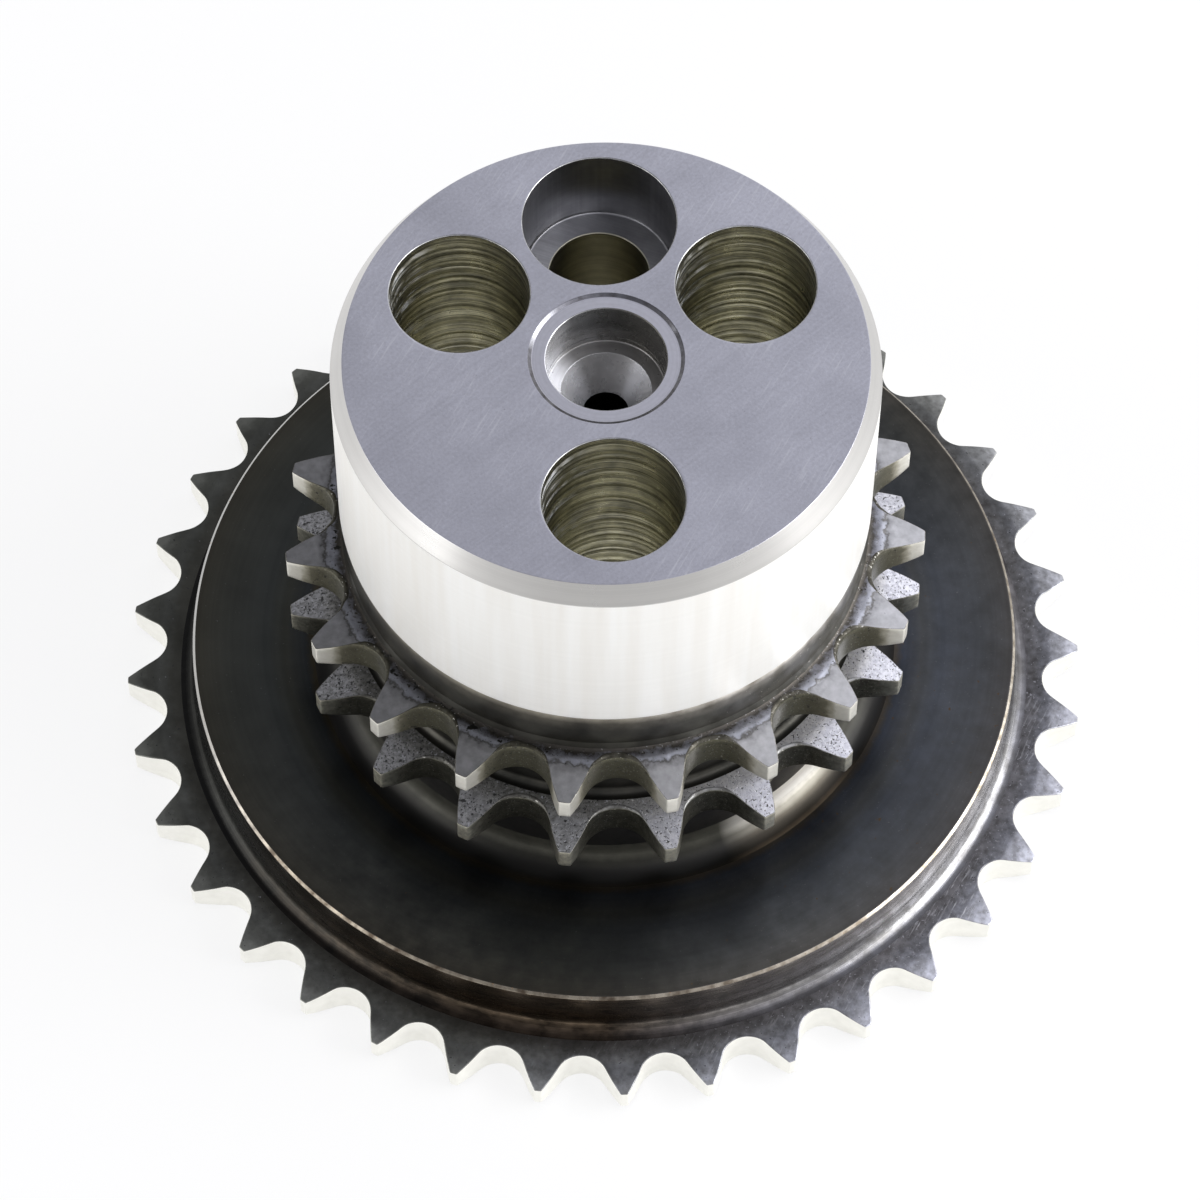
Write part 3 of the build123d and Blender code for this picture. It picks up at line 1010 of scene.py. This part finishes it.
def hub():
    """End face with its holes, centre hole, lead-in chamfer and ground side, down to the neck."""
    top = total_height
    ledge = top - centre_depth
    line = ledge + bore_line
    cone_bottom = ledge - (cone_mouth - pilot_radius) / math.tan(math.radians(30))
    centre = [
        (0, pilot_bottom, 0, "pilot"),
        (pilot_radius, pilot_bottom, 0.1, "pilot"),
        (pilot_radius, cone_bottom, 0.1, "centre_cone"),
        (cone_mouth, ledge, 0.08, "centre_ledge"),
        (centre_bore, ledge, 0.12, "centre_wall"),
        (centre_bore, line - bore_line_half, 0, "centre_wall"),
        (centre_bore + bore_line_depth, line, 0, "centre_wall"),
        (centre_bore, line + bore_line_half, 0, "centre_wall"),
        (centre_bore, top - recess_depth, 0.1, "recess"),
        (recess_radius - recess_bevel, top - recess_depth, 0.06, "recess_bevel"),
        (recess_radius, top, 0.06, "end_face"),
        (face_inner, top, 0, "end_face"),
    ]
    outside = [
        (face_outer, top, 0, "end_face"),
        (hub_radius - lead_in_width, top, 0.04, "lead_in"),
        (hub_radius, top - lead_in_length, 0.15, "hub_side"),
        (hub_radius, hub_bottom, hub_bottom_break, "undercut"),
        (neck_radius - overlap, hub_bottom, 0, "undercut"),
    ]
    grids = [turned(corners, round_turn(circle_columns)) for corners in (centre, outside)]
    for angle in sectors:
        radius = screw_seat if angle == screw_angle else bolt_bore
        grids.append(holed_face(angle, radius, hole_rim_break, top, 1, "end_face"))
    return skin("hub", grids)


def bores():
    """Rough bored walls of the three bolt holes, and the screw hole with its seat."""
    wall_top = total_height - hole_rim_break
    for number, angle in enumerate(bolt_angles, 1):
        skin(f"bolt_bore_{number}", [bored_wall(angle, wall_top, number)])
    middle = hole_circle * np.exp(1j * math.radians(screw_angle))
    seat_bottom = total_height - screw_seat_depth
    corners = [
        (screw_bore, bore_end, 0, "screw_bore"),
        (screw_bore, seat_bottom, 0.12, "screw_seat"),
        (screw_seat, seat_bottom, 0.25, "screw_seat"),
        (screw_seat, wall_top, 0, "screw_seat"),
    ]
    wall = turned(corners, round_turn(bore_columns))
    skin("screw_bore", [wall._replace(points=wall.points + [middle.real, middle.imag, 0])])


def bevel(radius, start, tip, drop):
    """How far a tooth face has sloped in at a radius, with a soft start."""
    past = radius - start
    return drop * (past + np.sqrt(past**2 + 0.02)) / 2 / (tip - start)


def toothed_row(name, bottom, above, below, shoulder, names, seed):
    """One of the two rows for the double chain, with the turned parts above and below it.

    With a shoulder, the upper face rises by a smooth step inside an uneven edge, and by a
    fillet of shoulder_fillet beside the neck.
    """
    outline = tooth_outline(row_form, 0.22, 13, 9)
    points, _, _, depth = outline
    root, tip = abs(points).min(), abs(points).max()
    start = root + row_land
    top = bottom + row_thickness

    def upper(radius):
        level = top - bevel(radius, start, tip, row_bevel_drop)
        if shoulder:
            wander = shoulder_wander * waves(len(points), (7, 17, 31, 53), seed + 1)
            outside = shoulder_edge + wander + shoulder_outside
            step = np.clip((outside - radius) / shoulder_slope, 0, 1)
            step = step * step * (3 - 2 * step)
            rise = np.clip(shoulder_fillet_foot - radius, 0, shoulder_fillet - 0.01)
            fillet = shoulder_fillet - np.sqrt(shoulder_fillet**2 - rise**2)
            level = level + shoulder_rise * step + fillet
        return level

    def lower(radius):
        return bottom + bevel(radius, start, tip, row_bevel_drop)

    ragged = waves(len(points), (19, 41, 67, 103, 151, 211), seed)
    seat_break = (front_seat_break if shoulder else rear_seat_break) + seat_break_wander * ragged
    uneven = break_wander * ragged
    break_top = flank_break + seat_break * np.exp(-((depth / seat_break_reach) ** 2)) + uneven
    inner = (neck_face, groove_face) if shoulder else (groove_face, boss_radius)
    grid, top_rim, under_rim = toothed_grid(
        outline, inner, row_spacing, upper, lower, break_top, under_break + uneven, names
    )
    first = float(np.mean(upper(np.array(inner[0]))))
    head = turned([*above, (inner[0], first, 0, names[0])], np.angle(top_rim))
    foot = turned([(inner[1], bottom, 0, names[2]), *below], np.angle(under_rim))
    return skin(name, [head, grid, foot])


def rows_of_teeth():
    """Front row with the neck and shoulder above it, and rear row with the boss below it."""
    middle = (front_row_bottom + rear_row_bottom + row_thickness) / 2
    rear_top = rear_row_bottom + row_thickness
    neck_bottom = front_row_bottom + row_thickness + shoulder_rise + shoulder_fillet
    neck = [
        (neck_radius, hub_bottom + overlap, 0, "undercut"),
        (neck_radius, neck_bottom, 0, "undercut"),
    ]
    above_groove = [
        (groove_radius, front_row_bottom, groove_fillet, "groove"),
        (groove_radius, middle - overlap, 0, "groove"),
        (groove_radius - overhang, middle - overlap, 0, "groove"),
    ]
    below_groove = [
        (groove_radius - overhang, middle + overlap, 0, "groove"),
        (groove_radius, middle + overlap, 0, "groove"),
        (groove_radius, rear_top, groove_fillet, "groove"),
    ]
    boss = [
        (boss_radius, disc_face + boss_cove - overlap, 0, "boss"),
        (boss_radius - overhang, disc_face + boss_cove - overlap, 0, "boss"),
    ]
    front = ("front_face", "row_wall", "under_face", "row_rim")
    rear = ("rear_face", "rear_wall", "under_face", "rear_rim")
    toothed_row("front_row", front_row_bottom, neck, above_groove, True, front, 3)
    toothed_row("rear_row", rear_row_bottom, below_groove, boss, False, rear, 8)


def disc():
    """Cove on the boss, the disc's face and its edge, and the step down to the ring."""
    corners = [
        (boss_radius - overhang, disc_face + boss_cove + overlap, 0, "cove"),
        (boss_radius - 0.01, disc_face + boss_cove + overlap, 0, "cove"),
        (boss_radius - 0.01, disc_face, boss_cove, "disc_face"),
        (disc_radius - disc_edge_break, disc_face, 0.12, "disc_edge"),
        (disc_radius, disc_face - disc_edge_break, 0.12, "disc_wall"),
        (disc_radius, ring_thickness, disc_foot, "ring_face"),
        (ring_inner + overlap, ring_thickness - sunk, 0, "ring_face"),
    ]
    return skin("disc", [turned(corners, round_turn(disc_columns))])


def toothed_ring():
    """Ring of fine teeth, and the flat back face inside it, as far as the holes' sectors."""
    outline = tooth_outline(ring_form, 0.2, 9, 7)
    points = outline[0]
    root, tip = abs(points).min(), abs(points).max()
    start = root + ring_land

    def upper(radius):
        return ring_thickness - bevel(radius, start, tip, ring_bevel_drop)

    def lower(radius):
        return bevel(radius, start, tip, ring_bevel_drop)

    ragged = waves(len(points), (36, 73, 125, 190, 290), 21)
    grid, _, under_rim = toothed_grid(
        outline, (ring_inner, ring_inner), ring_spacing, upper, lower,
        ring_break + ring_break_wander * ragged, ring_break,
        ("ring_face", "ring_wall", "back_face", "ring_face"),
    )
    back = [(ring_inner, 0, 0, "back_face"), (face_outer - overlap, sunk, 0, "back_face")]
    annulus = turned(back, np.angle(under_rim))
    return skin("toothed_ring", [grid, annulus])


def back_face():
    """Middle of the flat back face, with the holes that come out in it."""
    middle = [(face_inner, 0, 0, "back_face"), (0, 0, 0, "back_face")]
    grids = [turned(middle, round_turn(circle_columns))]
    for angle in sectors:
        radius = screw_bore if angle == screw_angle else bolt_bore
        grids.append(holed_face(angle, radius, back_rim_break, 0, -1, "back_face"))
    return skin("back_face", grids)


hub()
bores()
rows_of_teeth()
disc()
toothed_ring()
back_face()


# Camera, as fitted to the photograph

camera_place = Vector((-12.65, -259.39, 450.05)) * METRES
camera_pitch = 1.03201
camera_roll = -0.006877
camera_turn = math.radians(-2.7)
camera_lens = 156.4056


def camera():
    """Camera with the pitch, roll, turn and lens that line up the hub, disc and ring."""
    data = bpy.data.cameras.new("camera")
    data.lens = camera_lens
    data.sensor_width = 36
    data.clip_start = 0.01
    made = placed("camera", data)
    right = Vector((1, 0, 0))
    down = Vector((0, -math.sin(camera_pitch), -math.cos(camera_pitch)))
    ahead = Vector((0, math.cos(camera_pitch), -math.sin(camera_pitch)))
    rolled_right = right * math.cos(camera_roll) + down * math.sin(camera_roll)
    rolled_down = down * math.cos(camera_roll) - right * math.sin(camera_roll)
    axes = Matrix((rolled_right, -rolled_down, -ahead)).transposed()
    turn = Matrix.Rotation(camera_turn, 3, "Z")
    made.matrix_world = Matrix.Translation(camera_place) @ (turn @ axes).to_4x4()
    bpy.context.scene.camera = made


# Stage

floor_half = 3.0  # metres, like the next one
floor_drop = 0.0001  # keeps it clear of the back face
floor_glow = 0.8  # share of plain white in what the camera and the metal see of it


def floor():
    """Pale floor that shows white to the camera and in the metal, and keeps a soft shadow."""
    mesh = bpy.data.meshes.new("floor")
    corners = [(-1, -1), (1, -1), (1, 1), (-1, 1)]
    mesh.from_pydata([(floor_half * x, floor_half * y, 0) for x, y in corners], [], [(0, 1, 2, 3)])
    made = placed("floor", mesh)
    made.location.z = -floor_drop
    material = bpy.data.materials.new("floor")
    material.use_nodes = True
    wiring = Wiring(material.node_tree)
    shader = material.node_tree.nodes["Principled BSDF"]
    shader.inputs["Base Color"].default_value = (0.84, 0.84, 0.84, 1)
    shader.inputs["Roughness"].default_value = 0.9
    glow = wiring.node("ShaderNodeEmission", {"Color": rgba(1.0), "Strength": 1.0}).outputs[0]
    path = wiring.node("ShaderNodeLightPath").outputs
    seen = wiring.math("MAXIMUM", path["Is Camera Ray"], path["Is Glossy Ray"])
    inputs = {0: wiring.times(seen, floor_glow), 1: shader.outputs[0], 2: glow}
    mixed = wiring.node("ShaderNodeMixShader", inputs).outputs[0]
    wiring.join(mixed, material.node_tree.nodes["Material Output"].inputs["Surface"])
    mesh.materials.append(material)


def lamp(name, place, aim, size, power):
    """Soft square lamp at a place in millimetres, turned to its aim."""
    data = bpy.data.lights.new(name, "AREA")
    data.size = size
    data.energy = power
    made = placed(name, data)
    made.location = Vector(place) * METRES
    made.rotation_euler = (Vector(aim) - Vector(place)).to_track_quat("-Z", "Y").to_euler()


def surroundings():
    """Soft room light by direction, with pure white where the camera looks past the part.

    It is bright low down, grey at mid height, bright again and then darker overhead. Low down
    the two sides are brighter, and higher up it rises from left to right.
    """
    world = bpy.data.worlds.new("room")
    bpy.context.scene.world = world
    world.use_nodes = True
    wiring = Wiring(world.node_tree)
    direction = wiring.node("ShaderNodeTexCoord").outputs["Generated"]
    sideways, _, upward = wiring.parts(direction)
    sky = wiring.bands(upward, {
        -0.2: 0.9, 0.05: 0.56, 0.4: (0.58, 0.58, 0.6), 0.75: (0.85, 0.855, 0.915),
        0.812: (0.75, 0.755, 0.82), 0.833: (0.61, 0.615, 0.675), 0.856: (0.48, 0.485, 0.54),
        0.90: (0.42, 0.425, 0.47), 1.0: (0.42, 0.425, 0.47),
    })
    tilt = wiring.bands(sideways, {-0.6: 0.4, -0.25: 0.6, 0.0: 1.0, 0.12: 1.2, 0.3: 1.7, 0.6: 2.2})
    walls = wiring.stretch(wiring.math("ABSOLUTE", sideways), 0.35, 0.9, 1.0, 1.7)
    high = wiring.stretch(upward, 0.2, 0.6)
    factor = wiring.blend(high, wiring.combined(walls, walls, walls), tilt)
    sky = wiring.blend(1.0, sky, factor, "MULTIPLY")
    seen = wiring.node("ShaderNodeLightPath").outputs["Is Camera Ray"]
    colour = wiring.blend(seen, sky, 1.0)
    wiring.join(colour, world.node_tree.nodes["Background"].inputs["Color"])


camera()
floor()
surroundings()
lamp_aim = (0, 0, 20)
lamp("right_lamp", (600, -110, 290), lamp_aim, 0.5, 4.2)
lamp("left_lamp", (-600, -150, 260), lamp_aim, 0.6, 1.9)
bpy.context.scene.view_settings.view_transform = "Standard"
